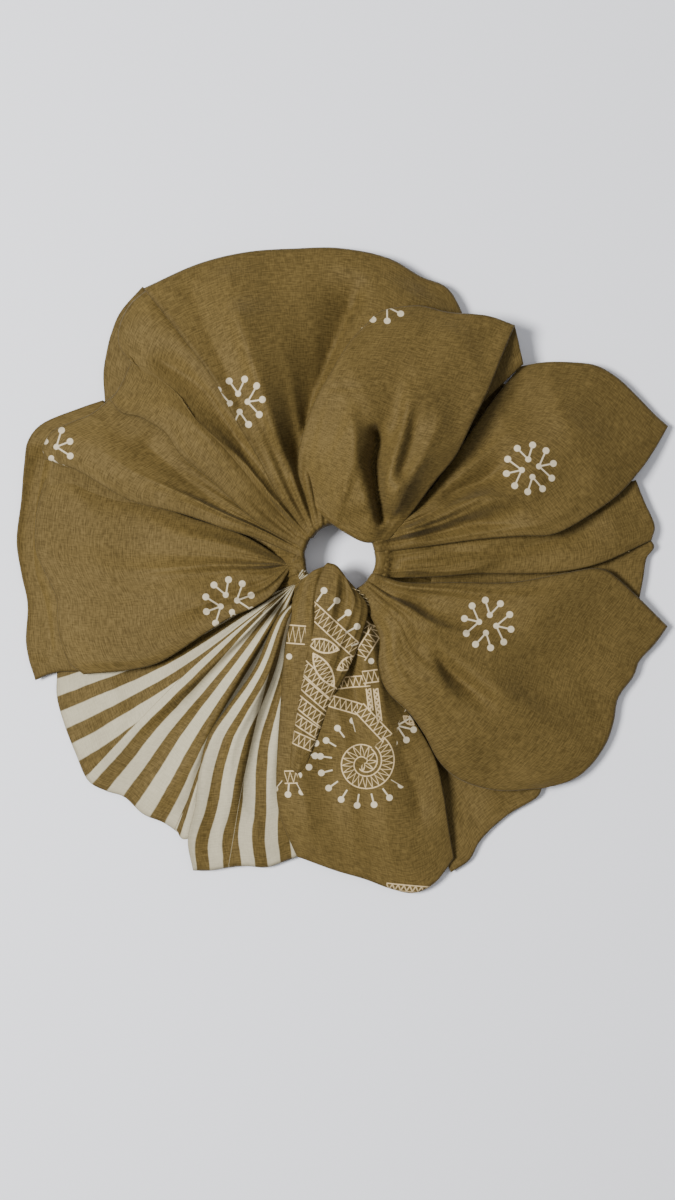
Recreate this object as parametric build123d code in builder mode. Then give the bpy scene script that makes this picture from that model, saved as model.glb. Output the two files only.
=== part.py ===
"""An oversized gathered scrunchie: a printed cloth tube drawn up on an elastic band, laid flat.

The tube falls into twelve gathered folds that stand round the opening like petals. Each fold is one
section of the tube, a soft body with the outer shape of its gathered cloth and a channel through which
the elastic runs. Each fold moves outwards when the band is stretched, so each is a part of its own. The
last stretch of the tube is tucked into the closing fold, where both the tube and the elastic are joined
into a ring.

Frame: +Z up, origin at the centre of the opening, on the surface that the scrunchie lies on.
"""

import os
from math import asin, cos, degrees, radians, sin, tan

from build123d import *

# ---- driving dimensions, millimetres and degrees -------------------------------------------------

spread_radius = 105.0  # usual distance from the centre to a fold's outer edge
opening_radius = 12.0  # clear opening while the band is relaxed
fold_gap = 0.30  # free space between one fold and the next
cloth_wall = 0.80  # one wall of the tube: 0.25 mm cloth, gathered about three to one
layer_gap = 0.30  # free space between a piece and what lies inside it

wall_low = 4.0  # the inner wall, which grips the hair, starts at this height
wall_high = 15.0  # and ends at this one
crest_run = 26.0  # from the inner wall out to where a fold is highest
rim_low = 1.6  # the pressed outer edge of a fold
rim_high = 4.4
foot_run = 9.0  # the rim rises from the floor over this length
inner_run = 11.0  # and the underside rises to the inner wall over this one
corner_radius = 11.0  # rounding of a fold's two outer corners, seen from above

elastic_width = 6.0  # flat braided elastic, standing on its edge
elastic_thickness = 0.9
elastic_lift = 2.6  # height of its lower edge above the foot of the inner wall
elastic_gap = 0.10  # between one stretch of elastic and the next
lap_length = 6.4  # where the two ends of the elastic lap
touch_gap = 0.03  # between pieces that only lie against each other

tuck_depth = 4.5  # how far the end of the tube goes into the closing fold
tuck_reach = 72.0  # outer radius of that tucked end

thread_radius = 0.20
seam_stitch = 2.4  # length of one stitch in the long seam
seam_pitch = 3.6
seam_inset = 13.0  # the long seam runs on the underside, this far inside the rim
seam_margin = 6.0  # and stops this far short of a fold's sides
furrow_margin = 0.2  # room for the stitches in the seam's furrow
closing_stitch = 1.6
closing_count = 9
zigzag_count = 7
zigzag_share = 0.7  # height of the zigzag as a share of the elastic's width

root_direction = 125.0  # direction of fold 1 from +X, seen from above; the others follow clockwise
closing_fold = 7  # opposite to fold 1

# how far each fold reaches past the usual radius, and the height of its crest; the four folds nearest
# to the X and Y directions reach equally far, which keeps the opening in the middle of the outline
fold_sizes = [
    (2.0, 22.0),
    (0.0, 24.0),
    (-12.0, 30.0),
    (3.0, 25.0),
    (0.0, 18.0),
    (1.0, 26.0),
    (-2.0, 17.0),
    (0.0, 23.0),
    (5.0, 17.0),
    (2.0, 16.0),
    (0.0, 17.0),
    (2.0, 20.0),
]

# ---- what follows from them ----------------------------------------------------------------------

fold_count = len(fold_sizes)
fold_pitch = 360.0 / fold_count
half_pitch = radians(fold_pitch / 2)
crest_radius = opening_radius + crest_run
tuck_inset = cloth_wall + layer_gap  # from a fold's outside to the tucked end's outside
elastic_inner = opening_radius + 2 * tuck_inset
elastic_outer = elastic_inner + elastic_thickness
elastic_low = wall_low + elastic_lift
lap_inner = elastic_outer + touch_gap
lap_outer = lap_inner + elastic_thickness
furrow_depth = 2 * thread_radius + 2 * furrow_margin


def direction_of(number):
    """Direction of a fold's middle, in degrees from +X."""
    return root_direction - (number - 1) * fold_pitch


def reach_of(number):
    """Outer radius of a fold."""
    return spread_radius + fold_sizes[number - 1][0]


def crest_of(number):
    """Height of a fold's crest."""
    return fold_sizes[number - 1][1]


def outwards(direction):
    """Unit vector along a direction."""
    return Vector(cos(radians(direction)), sin(radians(direction)), 0)


def section_plane(direction):
    """The upright plane through the axis along a direction: its x points outwards, its y up."""
    return Plane(origin=(0, 0, 0), x_dir=outwards(direction), z_dir=outwards(direction - 90))


def side_direction(number):
    """Direction of the side of a fold that faces the next one."""
    return direction_of(number) - fold_pitch / 2


# ---- sections and plans --------------------------------------------------------------------------


def crest_curve(crest, inset):
    """The rise of the top from the inner wall to the crest."""
    inner, top = opening_radius + inset, crest - inset
    with BuildLine() as rise:
        Bezier((inner, wall_high - inset), (inner, top), (crest_radius, top))
    return rise.edge()


def section_outline(reach, crest, inset):
    """Half section of the tube, out along x and up along y, drawn in by an inset on every side."""
    rise = crest_curve(crest, inset)
    inner, outer = opening_radius + inset, reach - inset
    low, high, top, floor = wall_low + inset, wall_high - inset, crest - inset, inset
    edge_low, edge_high = rim_low + inset / 2, rim_high - inset / 2
    slope = outer - crest_radius
    with BuildLine() as outline:
        Line((inner, low), (inner, high))
        add(rise)
        Bezier(
            (crest_radius, top),
            (crest_radius + 0.42 * slope, top),
            (outer - 0.30 * slope, edge_high + 0.16 * (top - edge_high)),
            (outer, edge_high),
        )
        Line((outer, edge_high), (outer, edge_low))
        Bezier((outer, edge_low), (outer - 0.5 * foot_run, floor), (outer - foot_run, floor))
        Line((outer - foot_run, floor), (inner + inner_run, floor))
        Bezier((inner + inner_run, floor), (inner, floor), (inner, low))
    return outline.line


def turned_section(direction, reach, crest, inset):
    """The half section turned about the axis; its seam is kept on the far side of the axis."""
    outline = section_outline(reach, crest, inset)
    with BuildPart() as turned:
        with BuildSketch(section_plane(direction + 180)):
            add(outline)
            make_face()
        revolve(axis=Axis.Z)
    return turned.part


def sector_corners(direction, gap, far):
    """The tip and the far ends of a fold's sector, its two sides drawn in by half a gap."""
    tip = gap / 2 / sin(half_pitch)
    along = far * cos(half_pitch)
    across = far * sin(half_pitch) - gap / 2 / cos(half_pitch)
    corners = [Vector(tip, 0), Vector(along, -across), Vector(along, across)]
    return [corner.rotate(Axis.Z, direction) for corner in corners]


def sector_plan(direction, reach, gap, rounding=0.0):
    """Plan of one fold: a sector with straight sides and, with a rounding, rounded outer corners."""
    with BuildSketch() as plan:
        Circle(reach)
        Polygon(*sector_corners(direction, gap, 2 * reach), align=None, mode=Mode.INTERSECT)
        if rounding:
            outer_corners = plan.vertices().sort_by_distance((0, 0, 0))[-2:]
            fillet(outer_corners, rounding)
    return plan.sketch


def side_strip(number, near, far, reach):
    """Plan of a strip inside a fold, along its side that faces the next fold."""
    side = side_direction(number)
    along, across = outwards(side), outwards(side + 90)
    corners = [across * near, along * reach + across * near, along * reach + across * far, across * far]
    with BuildSketch() as strip:
        Polygon(*corners, align=None)
    return strip.sketch


# ---- the cover -----------------------------------------------------------------------------------


def ring_cut(inner, outer, low, high):
    """A ring of rectangular section about the opening's axis, to be cut away."""
    with BuildPart() as ring:
        with BuildSketch(Plane.XY.offset(low)):
            Circle(outer)
            Circle(inner, mode=Mode.SUBTRACT)
        extrude(amount=high - low)
    return ring.part


def elastic_channel(number):
    """The channel through a fold for the elastic, wider in the closing fold, where the ends lap."""
    outer = elastic_outer
    if number == closing_fold:
        outer = lap_outer + touch_gap + 2 * thread_radius
    low, high = elastic_low - layer_gap, elastic_low + elastic_width + layer_gap
    return ring_cut(elastic_inner - layer_gap, outer + layer_gap, low, high)


def seam_furrow(number):
    """The furrow in a fold's underside in which the long seam lies."""
    middle, half_width = reach_of(number) - seam_inset, thread_radius + furrow_margin
    return ring_cut(middle - half_width, middle + half_width, 0, furrow_depth)


def tucked_body(reach, inset, depth):
    """Body of the tube inside the closing fold, along its side that faces the next fold."""
    direction, crest = direction_of(closing_fold), crest_of(closing_fold)
    strip = side_strip(closing_fold, 0, depth, reach)
    outside = turned_section(direction, reach, crest, inset)
    with BuildPart() as body:
        with BuildSketch():
            add(strip)
        extrude(amount=crest)
        add(outside, mode=Mode.INTERSECT)
    return body.part


def build_fold(number):
    """One section of the cover, with its channel, its furrow and, in the closing fold, its mouth."""
    reach, crest, direction = reach_of(number), crest_of(number), direction_of(number)
    plan = sector_plan(direction, reach, fold_gap, corner_radius)
    outside = turned_section(direction, reach, crest, 0.0)
    channel, furrow = elastic_channel(number), seam_furrow(number)
    mouth = tucked_body(tuck_reach + layer_gap, cloth_wall, tuck_depth + fold_gap / 2 + layer_gap)
    with BuildPart() as fold:
        with BuildSketch():
            add(plan)
        extrude(amount=crest + cloth_wall)
        add(outside, mode=Mode.INTERSECT)
        add(channel, mode=Mode.SUBTRACT)
        add(furrow, mode=Mode.SUBTRACT)
        if number == closing_fold:
            add(mouth, mode=Mode.SUBTRACT)
    return fold


def build_tucked_end():
    """The last stretch of the tube, which lies inside the closing fold's mouth."""
    body = tucked_body(tuck_reach, tuck_inset, tuck_depth + fold_gap / 2)
    clearance = side_strip(closing_fold, 0, fold_gap / 2, 2 * tuck_reach)
    channel = elastic_channel(closing_fold)
    with BuildPart() as end:
        add(body)
        with BuildSketch():
            add(clearance)
        extrude(amount=crest_of(closing_fold), mode=Mode.SUBTRACT)
        add(channel, mode=Mode.SUBTRACT)
    return end


# ---- the elastic ---------------------------------------------------------------------------------


def build_elastic(number):
    """The stretch of elastic inside one fold."""
    direction = direction_of(number)
    with BuildPart() as stretch:
        with BuildSketch(Plane.XY.offset(elastic_low)):
            Circle(elastic_outer)
            Circle(elastic_inner, mode=Mode.SUBTRACT)
            Polygon(
                *sector_corners(direction, elastic_gap, 2 * elastic_outer),
                align=None,
                mode=Mode.INTERSECT,
            )
        extrude(amount=elastic_width)
    return stretch


def build_lapped_end():
    """The end of the elastic that laps over the stretch in the closing fold."""
    strip = side_strip(closing_fold, elastic_gap / 2, elastic_gap / 2 + lap_length, 2 * lap_outer)
    with BuildPart() as lap:
        with BuildSketch(Plane.XY.offset(elastic_low)):
            Circle(lap_outer)
            Circle(lap_inner, mode=Mode.SUBTRACT)
            add(strip, mode=Mode.INTERSECT)
        extrude(amount=elastic_width)
    return lap


# ---- the stitching -------------------------------------------------------------------------------


def build_tube_seam(number):
    """Stitches of the long seam, which closes the cloth into a tube, in the furrow of one fold."""
    radius = reach_of(number) - seam_inset
    half_run = radius * tan(half_pitch) - fold_gap / 2 - seam_margin
    count = int(2 * half_run / seam_pitch) + 1
    step = degrees(seam_pitch / radius)
    start = direction_of(number) - step * (count - 1) / 2
    height = furrow_depth - furrow_margin - thread_radius
    with BuildPart(Plane.XY.offset(height)) as seam:
        with PolarLocations(radius, count, start, step * (count - 1), endpoint=True):
            Cylinder(thread_radius, seam_stitch, rotation=(90, 0, 0))
    return seam


def build_closing_stitches():
    """Ladder stitches along the mouth of the closing fold, from the inner wall up to the crest."""
    rise = crest_curve(crest_of(closing_fold), 0.0)
    lift = thread_radius + 2 * touch_gap
    inside_mouth = fold_gap / 2 + closing_stitch / 2 + touch_gap
    spots = []
    for index in range(closing_count):
        share = (index + 0.5) / closing_count
        point, tangent = rise.position_at(share), rise.tangent_at(share)
        radius = point.X - tangent.Y * lift
        height = point.Y + tangent.X * lift
        direction = side_direction(closing_fold) + degrees(asin(inside_mouth / radius))
        spots.append(
            Plane(
                origin=outwards(direction) * radius + Vector(0, 0, height),
                x_dir=(0, 0, 1),
                z_dir=outwards(direction + 90),
            )
        )
    with BuildPart() as stitches:
        with Locations(*spots):
            Cylinder(thread_radius, closing_stitch)
    return stitches


def build_zigzag():
    """Zigzag stitches that hold the lapped ends of the elastic together."""
    radius = lap_outer + touch_gap + thread_radius
    step = lap_length / (zigzag_count + 1)
    half_height = elastic_width * zigzag_share / 2
    middle = elastic_low + elastic_width / 2
    knots = []
    for index in range(zigzag_count):
        across = elastic_gap / 2 + step * (index + 1)
        direction = side_direction(closing_fold) + degrees(asin(across / radius))
        rise = half_height if index % 2 else -half_height
        knots.append(outwards(direction) * radius + Vector(0, 0, middle + rise))
    spots = []
    for first, second in zip(knots, knots[1:]):
        spots.append(Plane(origin=(first + second) / 2, x_dir=first + second, z_dir=second - first))
    length = (knots[1] - knots[0]).length - 4 * thread_radius
    with BuildPart() as zigzag:
        with Locations(*spots):
            Cylinder(thread_radius, length)
    return zigzag


# ---- the pieces ----------------------------------------------------------------------------------


def save(piece, name):
    """Label one piece and write it to its file."""
    piece.part.label = name
    export_step(piece.part, f"parts/{name}.step")
    box = piece.part.bounding_box()
    print(f"{name}: {len(piece.part.solids())} solid(s), {piece.part.volume:.1f} mm3, top {box.max.Z:.1f}")


os.makedirs("parts", exist_ok=True)

for fold_number in range(1, fold_count + 1):
    save(build_fold(fold_number), f"cover_fold_{fold_number:02d}")
    save(build_elastic(fold_number), f"elastic_band_{fold_number:02d}")
    save(build_tube_seam(fold_number), f"tube_seam_stitches_{fold_number:02d}")

save(build_tucked_end(), "tucked_tube_end")
save(build_closing_stitches(), "closing_seam_stitches")
save(build_lapped_end(), "elastic_lapped_end")
save(build_zigzag(), "elastic_zigzag_stitches")
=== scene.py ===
import math

import bmesh
import bpy
import numpy as np
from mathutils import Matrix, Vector


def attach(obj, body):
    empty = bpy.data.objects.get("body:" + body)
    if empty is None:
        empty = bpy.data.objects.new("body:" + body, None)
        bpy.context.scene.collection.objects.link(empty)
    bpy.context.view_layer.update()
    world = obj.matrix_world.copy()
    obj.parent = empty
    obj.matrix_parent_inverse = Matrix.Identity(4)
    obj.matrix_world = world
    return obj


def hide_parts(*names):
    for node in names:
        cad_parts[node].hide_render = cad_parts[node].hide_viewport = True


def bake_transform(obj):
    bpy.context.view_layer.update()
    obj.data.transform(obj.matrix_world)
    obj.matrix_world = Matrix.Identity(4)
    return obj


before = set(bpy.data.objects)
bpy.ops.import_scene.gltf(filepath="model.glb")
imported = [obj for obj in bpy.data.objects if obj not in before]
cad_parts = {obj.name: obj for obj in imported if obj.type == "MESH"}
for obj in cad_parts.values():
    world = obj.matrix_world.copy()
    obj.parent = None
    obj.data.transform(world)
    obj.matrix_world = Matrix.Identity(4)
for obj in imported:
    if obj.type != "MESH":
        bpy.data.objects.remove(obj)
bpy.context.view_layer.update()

mm = 0.001


# helpers for shapes
def smoothLine(points, count):
    # a smooth line through a few given points, then evenly spaced along its length
    p = np.array(points, float)
    if len(p) == 2:
        t = np.linspace(0, 1, count)[:, None]
        return p[0] * (1 - t) + p[1] * t
    ends = np.vstack([2 * p[0] - p[1], p, 2 * p[-1] - p[-2]])
    fine = []
    for i in range(1, len(ends) - 2):
        a, b, c, d = ends[i - 1:i + 3]
        t = np.linspace(0, 1, 24, endpoint=False)[:, None]
        square, cube = 2 * a - 5 * b + 4 * c - d, 3 * b - a - 3 * c + d
        fine.append(0.5 * (2 * b + (c - a) * t + square * t**2 + cube * t**3))
    fine = np.vstack(fine + [p[-1:]])
    return spaced(fine, count)


def spaced(line, count):
    run = np.concatenate([[0], np.cumsum(np.linalg.norm(np.diff(line, axis=0), axis=1))])
    at = np.linspace(0, run[-1], count)
    return np.stack([np.interp(at, run, line[:, i]) for i in range(line.shape[1])], axis=1)


def ease(x):
    x = np.clip(x, 0, 1)
    return x * x * (3 - 2 * x)


def softMost(a, b, blur):
    # the larger of two heights, with a rounded change from one to the other
    return 0.5 * (a + b + np.sqrt((a - b) ** 2 + blur))


def softNoise(x, y, seed):
    # smooth random heights from -1 to 1
    rng = np.random.RandomState(seed)
    table = rng.uniform(-1, 1, (64, 64))
    xi, yi = np.floor(x).astype(int), np.floor(y).astype(int)
    fx, fy = ease(x - xi), ease(y - yi)
    g = lambda i, j: table[(xi + i) % 64, (yi + j) % 64]
    low = g(0, 0) * (1 - fx) + g(1, 0) * fx
    high = g(0, 1) * (1 - fx) + g(1, 1) * fx
    return low * (1 - fy) + high * fy


def besideLine(x, y, path):
    # distance from a line, which side, and how far along it, for every point of a grid
    line = smoothLine(path, 40)
    best = np.full(x.shape, 1e9)
    side = np.zeros(x.shape)
    along = np.zeros(x.shape)
    for i in range(len(line) - 1):
        a, b = line[i, :2], line[i + 1, :2]
        d = b - a
        t = np.clip(((x - a[0]) * d[0] + (y - a[1]) * d[1]) / max(d @ d, 1e-9), 0, 1)
        ox, oy = x - a[0] - t * d[0], y - a[1] - t * d[1]
        far = np.hypot(ox, oy)
        near = far < best
        best = np.where(near, far, best)
        side = np.where(near, np.sign(d[0] * oy - d[1] * ox), side)
        along = np.where(near, (i + t) / (len(line) - 1), along)
    return best, side, along


def foldHeight(x, y, line):
    far, side, along = besideLine(x, y, line["path"])
    soft = np.where(side > 0, line["soft"][0], line["soft"][1])
    start, stop = line["fade"]
    shape = ease(along / start) * ease((1 - along) / stop)
    return line["rise"] * np.exp(-((far / soft) ** 1.25)) * shape


def around(radius, angle, height):
    x, y = radius * np.cos(angle), radius * np.sin(angle)
    return np.stack([x, y, height + 0 * radius * angle], axis=-1)


def spread(count, edge=0.72):
    # rows that crowd towards both edges, where the cloth turns over
    t = np.linspace(0, 1, count)
    return (1 - edge) * t + edge * 0.5 * (1 - np.cos(np.pi * t))


def spreadOut(count, edge=0.6):
    t = np.linspace(0, 1, count)
    return (1 - edge) * t + edge * np.sin(np.pi / 2 * t)


casing = {"radius": 13.6, "top": 14.0, "slope": 0.9}    # the gathered ring's crown, mm

cloth = {
    "thickness": 0.28,     # one layer, mm
    "turn": 0.55,          # radius of a pressed fold
    "lowest": 2.9,         # no fold's upper face lies lower than this
    "floor": 1.65,         # nor its lower face than this, just above the casing's skirt
    "relief": 1.12,        # how far the folds stand apart
    # the width of the painted shade along a fold's edge, mm
    "pressed": 0.9,        # width of the darker line along a pressed edge
    "blend": 0.6,          # how softly a fold meets the casing's crown
    "margin": 9.0,         # the cloth swells only this far in from its edges
    "filled": 16.0,        # and reaches its full puff this far in
    "rows": 92,
    "columns": 66,
}

# the gathers: sharp crests that run out from the opening and die away
crests = {
    "count": 3.2,          # of them across the narrowest fold
    "wider": 22,           # width that adds one, mm
    "high": 3.5,
    "smallHigh": 0.8,      # the small ones between them
    "closer": 2.3,         # how much closer those stand
    "sharp": 2.2,
    "reach": 0.6,          # share of the fold's length
    "margin": 6.0,
}

# how a petal's base turns over into the opening, mm
throat = {
    "rows": 9,
    "roll": 1.4,           # radius of the turn
    "drop": 6.5,           # how far it goes down after that
    "backRoll": 0.6,       # a back layer only lies under the others, so it hardly turns down
    "backDrop": 0.4,
    "bend": 0.55,          # share of the rows in the turn
    "pinch": 0.25,         # how much narrower it gets
    "hollow": 1.1,         # from the outer layer to the inner one
    "low": 0.6,            # it stays above this
    "double": 0.3,
}

# small creases and swellings away from the gathers: how far apart, mm, and how high
creases = {"long": 21, "across": 33, "share": 0.8, "swell": 17, "ripple": 0.25}


def meshFrom(name, verts, faces, uvs=None):
    mesh = bpy.data.meshes.new(name)
    mesh.from_pydata((np.asarray(verts) * mm).tolist(), [], faces)
    if uvs is not None:
        layer = mesh.uv_layers.new(name="clothUV")
        flat = np.asarray(uvs)[[v for f in faces for v in f]]
        layer.data.foreach_set("uv", flat.astype(np.float32).ravel())
    piece = bpy.data.objects.new(name, mesh)
    bpy.context.scene.collection.objects.link(piece)
    return piece


def tidyMesh(piece, merge=0.00002):
    bm = bmesh.new()
    bm.from_mesh(piece.data)
    bmesh.ops.remove_doubles(bm, verts=bm.verts, dist=merge)
    bmesh.ops.recalc_face_normals(bm, faces=bm.faces)
    bm.to_mesh(piece.data)
    bm.free()
    piece.data.polygons.foreach_set("use_smooth", [True] * len(piece.data.polygons))
    piece.data.update()


def petalSurface(petal):
    # the upper face of one petal: its two sides, its pressed rim and its gathered base, filled in
    rows, columns = cloth["rows"], cloth["columns"]
    if "span" in petal:
        # the part of the opening's edge that this fold gathers into, as two angles
        first, last = petal["span"]
        high = petal["sideA"][0][2]
        steps = [math.radians(first + (last - first) * k / 4) for k in range(5)]
        mouth = [tuple(around(casing["radius"] - 0.7, angle, high)) for angle in steps]
        petal["base"] = mouth
        petal["sideA"] = [mouth[0]] + petal["sideA"][1:]
        petal["sideB"] = [mouth[-1]] + petal["sideB"][1:]
    sideA = smoothLine(petal["sideA"], 200)
    sideB = smoothLine(petal["sideB"], 200)
    rim = smoothLine(petal["rim"], 200)
    base = smoothLine(petal.get("base", [petal["sideA"][0], petal["sideB"][0]]), 200)
    u = spreadOut(rows)[:, None, None]
    v = spread(columns)[None, :, None]
    even = np.linspace(0, 1, 200)
    pick = lambda line, t: np.stack([np.interp(t, even, line[:, i]) for i in range(3)], axis=-1)
    a, b = pick(sideA, u[:, 0, 0])[:, None], pick(sideB, u[:, 0, 0])[:, None]
    lo, hi = pick(base, v[0, :, 0])[None], pick(rim, v[0, :, 0])[None]
    corners = (1 - u) * ((1 - v) * base[0] + v * base[-1]) + u * ((1 - v) * rim[0] + v * rim[-1])
    p = (1 - v) * a + v * b + (1 - u) * lo + u * hi - corners
    p[..., 2] = cloth["lowest"] + (p[..., 2] - cloth["lowest"]) * cloth["relief"]
    # every fold rises to the gathered casing around the opening, in its own order
    out = np.maximum(np.hypot(p[..., 0], p[..., 1]), casing["radius"])
    crest = casing["top"] + 0.22 * (base[:, 2].mean() - 10) - casing["slope"] * (out - casing["radius"])
    if "base" in petal:
        p[..., 2] = softMost(p[..., 2], crest, cloth["blend"])
    return p, u[:, :, 0] * np.ones((rows, columns)), v[:, :, 0] * np.ones((rows, columns))


def shapePetal(petal):
    p, u, v = petalSurface(petal)
    seed = petal["seed"]
    wide = np.linalg.norm(np.diff(p, axis=1), axis=2).sum(1)[:, None]
    long = np.linalg.norm(np.diff(p, axis=0), axis=2).sum(0)[None, :]
    toEdge = np.minimum(np.minimum(v, 1 - v) * wide, (1 - u) * long)
    inside = ease(toEdge / cloth["margin"])
    domed = np.sin(np.pi * v) ** 0.8 * np.sin(np.pi * np.clip(u, 0, 1) ** 0.8) ** 0.9
    p[..., 2] += petal["crown"] * domed
    gather = petal.get("gather", 0.8)
    span = crests["count"] + wide.mean() / crests["wider"]
    waves = 1 - crests["sharp"] * np.abs(softNoise(v * span + seed + 0.4 * u, u * 1.1, seed))
    nearer = v * crests["closer"] * span + seed
    small = 1 - crests["sharp"] * np.abs(softNoise(nearer, u * 2.4, seed + 1))
    reach = np.exp(-((u / crests["reach"]) ** 1.8)) * ease((u + 0.05) / 0.2)
    deep = gather * (crests["high"] * waves + crests["smallHigh"] * small * (1 - u))
    p[..., 2] += deep * reach * (0.15 + 0.85 * ease(toEdge / crests["margin"]))
    apart = creases["swell"]
    swell = softNoise(p[..., 0] / apart + seed, p[..., 1] / apart, seed + 2)
    ripple = softNoise(v * 6 + seed, u * 5, seed + 3)
    slant = (p[..., 0] + 0.5 * p[..., 1]) / creases["long"] + seed
    cross = (p[..., 1] - 0.5 * p[..., 0]) / creases["across"]
    crease = 1 - 2 * np.abs(softNoise(slant, cross, seed + 5))
    p[..., 2] += petal["swell"] * (swell + creases["share"] * crease) * inside
    p[..., 2] += petal.get("ripple", creases["ripple"]) * ripple
    for line in petal.get("folds", []):
        p[..., 2] += foldHeight(p[..., 0], p[..., 1], line)
    p[..., 2] = softMost(p[..., 2], cloth["lowest"], 0.2)
    turn = cloth["turn"]
    near = np.clip(toEdge, 0, turn)
    bend = np.sqrt(np.maximum(turn**2 - (turn - near) ** 2, 0))
    top = p.copy()
    top[..., 2] -= turn - bend
    belly = 0.35 + 0.65 * np.sin(np.pi * np.clip(u, 0.12, 1) ** 0.9)
    deep = 2 * bend + (petal["puff"] - 2 * turn) * ease(toEdge / cloth["filled"]) * belly
    under = p.copy()
    under[..., 2] = np.maximum(top[..., 2] - deep, np.minimum(cloth["floor"], top[..., 2] - 2 * bend))
    rolled, rolledUnder = rollBase(petal, p, top, under)
    steps = len(rolled)
    top = np.concatenate([rolled, top])
    under = np.concatenate([rolledUnder, under])
    # painted shade along each fold's edge, where the cloth turns under: strongest at the edge and gone a
    # little way in; the base's rolled rows get none
    paintedShade = np.exp(-((toEdge / cloth["pressed"]) ** 1.5))
    petal["pressed"] = np.concatenate([np.zeros((steps, toEdge.shape[1])), paintedShade])
    return top, under


def rollBase(petal, p, top, under):
    # the rows by which a petal's base turns over into the opening
    rolled, rolledUnder = [], []
    inwards = p[0] - p[3]
    inwards[:, 2] = 0
    inwards /= np.maximum(np.linalg.norm(inwards, axis=1), 1e-6)[:, None]
    roll, drop = throat["backRoll"], throat["backDrop"]
    if "base" in petal:
        roll, drop = petal.get("roll", throat["roll"]), petal.get("drop", throat["drop"])
    steps, share = throat["rows"], throat["bend"]
    for k in range(steps, 0, -1):
        t = k / steps
        bent = min(t / share, 1.0) * math.pi / 2
        down = roll * (1 - math.cos(bent)) + max(t - share, 0) / (1 - share) * drop
        pinch = 1 - throat["pinch"] * t
        middle = top[0].mean(0)
        row = middle + (top[0] - middle) * pinch + inwards * roll * math.sin(bent)
        row[:, 2] = np.maximum(top[0][:, 2] - down, throat["low"] + throat["double"])
        inner = inwards * (roll * math.sin(bent) - throat["hollow"])
        rowUnder = middle + (under[0] - middle) * pinch + inner
        rowUnder[:, 2] = np.maximum(under[0][:, 2] - 0.5 * down, throat["low"])
        rowUnder[0], rowUnder[-1] = row[0], row[-1]
        rolled.append(row)
        rolledUnder.append(rowUnder)
    return np.array(rolled), np.array(rolledUnder)


def buildPetal(name, petal):
    top, under = shapePetal(petal)
    rows, columns = top.shape[:2]
    ring = np.concatenate([top, under[:, -2:0:-1]], axis=1)
    count = ring.shape[1]
    middle = top[:, columns // 2]
    run = np.cumsum(np.linalg.norm(np.diff(middle, axis=0), axis=1))
    along = np.concatenate([[0], run]) * mm
    wide = np.linalg.norm(np.diff(top[rows * 2 // 3], axis=0), axis=1).sum() * mm
    # flat cloth coordinates: between fanned, following the gathers, and straight, as woven
    t = np.concatenate([spread(columns), 2 - spread(columns)[-2:0:-1]])
    local = np.linalg.norm(np.diff(top, axis=1), axis=2).sum(1) * mm
    fan = petal.get("fan", 0.35)
    scale = fan * wide + (1 - fan) * local
    across = ((t[None, :] - 0.5) * scale[:, None] + 0.5 * wide).ravel()
    uvs = np.stack([across, np.repeat(along, count)], axis=1)
    faces, corners = [], []
    for r in range(rows - 1):
        for c in range(count):
            n = (c + 1) % count
            near, far = r * count, (r + 1) * count
            faces.append((near + c, near + n, far + n, far + c))
            ends = [1.5 * scale[k] + 0.5 * wide if n == 0 else uvs[k * count + n][0] for k in (r, r + 1)]
            corners += [uvs[near + c], (ends[0], along[r]), (ends[1], along[r + 1]), uvs[far + c]]
    piece = meshFrom(name, ring.reshape(-1, 3), faces)
    layer = piece.data.uv_layers.new(name="clothUV")
    layer.data.foreach_set("uv", np.array(corners, np.float32).ravel())
    # the painted shade along the folds' edges goes to every vertex, on the upper and lower faces, for
    # the material
    paintedShade = np.concatenate([petal["pressed"], petal["pressed"][:, -2:0:-1]], axis=1)
    pressed = piece.data.attributes.new("pressed", "FLOAT", "POINT")
    pressed.data.foreach_set("value", paintedShade.astype(np.float32).ravel())
    tidyMesh(piece)
    addCloth(piece)
    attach(piece, petal["body"])
    wide, long, area = cutOf(petal)
    # the long seam runs on the underside, just inside the rim
    petal["seam"] = under[int(0.84 * rows), 6:-6] - (0, 0, 0.02)
    return piece


def addCloth(piece):
    # gives a surface the thickness of one layer
    shell = piece.modifiers.new("cloth", "SOLIDIFY")
    shell.thickness = cloth["thickness"] * mm
    shell.offset = -1


# what the maker allows when cutting, before anything is gathered
cut = {
    "layers": 2,           # the tube lies double
    "gathered": 1.12,      # cloth across the fold that its gathers take up
    "turned": 8.0,         # cloth that turns down into the opening, mm
}


def cutOf(petal):
    # the flat cut of one petal, from its outline seen from above: width and length, m, and area
    first = petal.get("base", [petal["sideA"][0], petal["sideB"][0]])
    edges = petal["sideA"] + petal["rim"] + petal["sideB"][::-1] + first[::-1]
    outline = np.array([p[:2] for p in edges])
    x, y = outline.T
    plan = 0.5 * abs(x @ np.roll(y, 1) - y @ np.roll(x, 1))
    out = np.mean([p[:2] for p in petal["rim"]], axis=0) - np.mean([p[:2] for p in first], axis=0)
    out /= np.hypot(*out)
    hidden = cut["turned"] if "base" in petal else 0.0
    neck = math.dist(first[0][:2], first[-1][:2])
    wide = cut["layers"] * cut["gathered"] * np.ptp(outline @ (-out[1], out[0]))
    long = np.ptp(outline @ out) + hidden
    area = cut["layers"] * (cut["gathered"] * plan + hidden * neck)
    return round(wide * mm, 3), round(long * mm + 0.001, 3), round(area * mm * mm, 6)


# the cloth's colours and prints


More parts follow.
